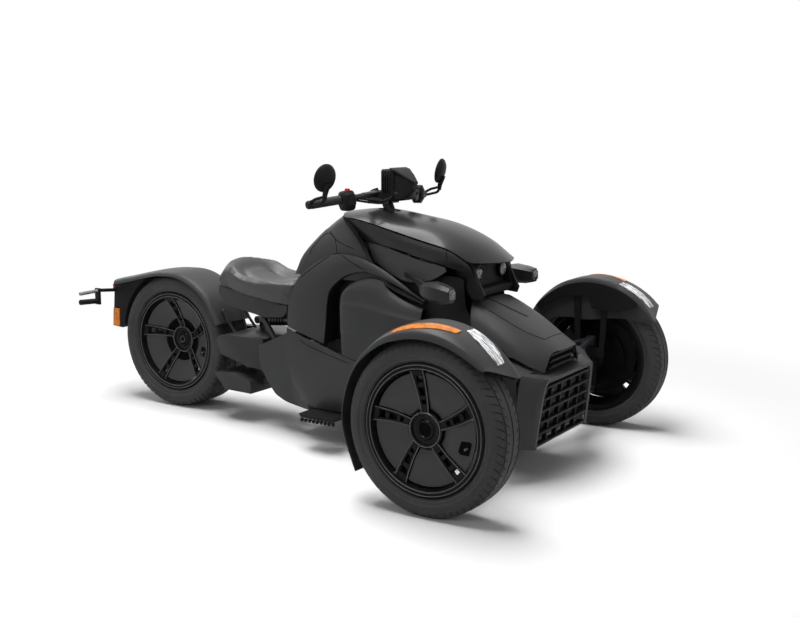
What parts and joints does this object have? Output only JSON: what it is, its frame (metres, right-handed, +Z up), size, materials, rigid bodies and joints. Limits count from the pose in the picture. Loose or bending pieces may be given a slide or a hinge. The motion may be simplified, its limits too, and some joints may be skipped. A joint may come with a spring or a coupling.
{
  "type": "three-wheeled motorcycle",
  "caption": "Three-wheeled motorcycle with a pair of steered front wheels under cycle fenders, one driven rear wheel, low single seat and handlebar steering.",
  "frame": {"origin": "on the ground, in the middle of the overall length and width", "axes": "+X forwards, +Y to the rider's left, +Z up"},
  "size_m": [2.3793, 1.5194, 1.1084],
  "materials": {
    "frame_paint": "satin black paint",
    "engine_alloy": "dark cast alloy",
    "panel_grey": "matte charcoal moulded plastic with fine grain",
    "panel_dark": "satin black moulded plastic",
    "trim_black": "black textured plastic",
    "lens_clear": "clear lens",
    "lens_amber": "amber lens",
    "lens_red": "red lens",
    "seat_vinyl": "black vinyl with fine grain",
    "tyre": "black rubber",
    "rim_black": "gloss black",
    "insert_grey": "satin dark grey",
    "steel_dark": "dark plated steel",
    "grip_rubber": "black rubber",
    "mirror": "mirror glass"
  },
  "bodies": {
    "chassis": {"frame": "frame_paint", "subframe": "frame_paint", "engine": "engine_alloy", "engine_covers": "panel_grey", "belly_pan": "trim_black", "hood": "panel_dark", "hood_sides": "panel_dark", "side_panels": "trim_black", "inner_panels": "trim_black", "flanks": "panel_grey", "tank_cover": "panel_grey", "arch_panels": "panel_grey", "sills": "panel_grey", "rear_covers": "panel_grey", "headlamp_housing": "trim_black", "lamp_lenses": "lens_clear", "lamp_pods": "panel_dark", "nose_cowl": "panel_grey", "fascia": "panel_grey", "grille": "trim_black", "radiator": "engine_alloy", "seat": "seat_vinyl", "seat_base": "panel_grey", "rear_fender": "panel_grey", "tail_lamp": "lens_red", "tail_bracket": "trim_black", "rear_indicators": "lens_clear", "rear_reflectors": "lens_amber", "swingarm": "frame_paint", "rear_shock": "steel_dark", "exhaust": "panel_grey", "foot_pegs": "trim_black", "front_arms": "frame_paint", "front_shocks": "steel_dark"},
    "handlebar": {"handlebar": "frame_paint", "grips": "grip_rubber", "switch_pods": "trim_black", "display": "trim_black", "mirrors": "trim_black", "mirror_glass": "mirror"},
    "steering_link": {"steering_link": "steel_dark"},
    "knuckle_right": {"knuckle_right": "steel_dark", "fender_right": "panel_grey", "fender_marker_right": "lens_amber", "fender_lamp_right": "lens_clear"},
    "knuckle_left": {"knuckle_left": "steel_dark", "fender_left": "panel_grey", "fender_marker_left": "lens_amber", "fender_lamp_left": "lens_clear"},
    "wheel_right": {"tyre_right": "tyre", "rim_right": "rim_black", "inserts_right": "insert_grey"},
    "wheel_left": {"tyre_left": "tyre", "rim_left": "rim_black", "inserts_left": "insert_grey"},
    "wheel_rear": {"tyre_rear": "tyre", "rim_rear": "rim_black", "inserts_rear": "insert_grey"}
  },
  "joints": [
    {"name": "steering", "type": "hinge", "parent": "chassis", "child": "handlebar", "pos_m": [0.326, 0, 0.85], "axis": [-0.4226, 0, 0.9063], "range_deg": [-32, 32]},
    {"name": "king_pin_right", "type": "hinge", "parent": "chassis", "child": "knuckle_right", "pos_m": [0.9, -0.593, 0.29], "axis": [0, 0, 1], "range_deg": [-28.8, 28.8]},
    {"name": "king_pin_left", "type": "hinge", "parent": "chassis", "child": "knuckle_left", "pos_m": [0.9, 0.593, 0.29], "axis": [0, 0, 1], "range_deg": [-28.8, 28.8]},
    {"name": "link_pivot", "type": "hinge", "parent": "knuckle_right", "child": "steering_link", "pos_m": [0.75, -0.593, 0.28], "axis": [0, 0, 1], "range_deg": [-28.8, 28.8]},
    {"name": "spin_right", "type": "hinge", "parent": "knuckle_right", "child": "wheel_right", "pos_m": [0.9, -0.673, 0.29], "axis": [0, 1, 0], "continuous": true},
    {"name": "spin_left", "type": "hinge", "parent": "knuckle_left", "child": "wheel_left", "pos_m": [0.9, 0.673, 0.29], "axis": [0, 1, 0], "continuous": true},
    {"name": "spin_rear", "type": "hinge", "parent": "chassis", "child": "wheel_rear", "pos_m": [-0.809, 0, 0.2955], "axis": [0, 1, 0], "continuous": true}
  ],
  "couplings": [
    {"joint": "king_pin_right", "follows": "steering", "ratio": 0.9},
    {"joint": "king_pin_left", "follows": "steering", "ratio": 0.9},
    {"joint": "link_pivot", "follows": "steering", "ratio": -0.9}
  ]
}
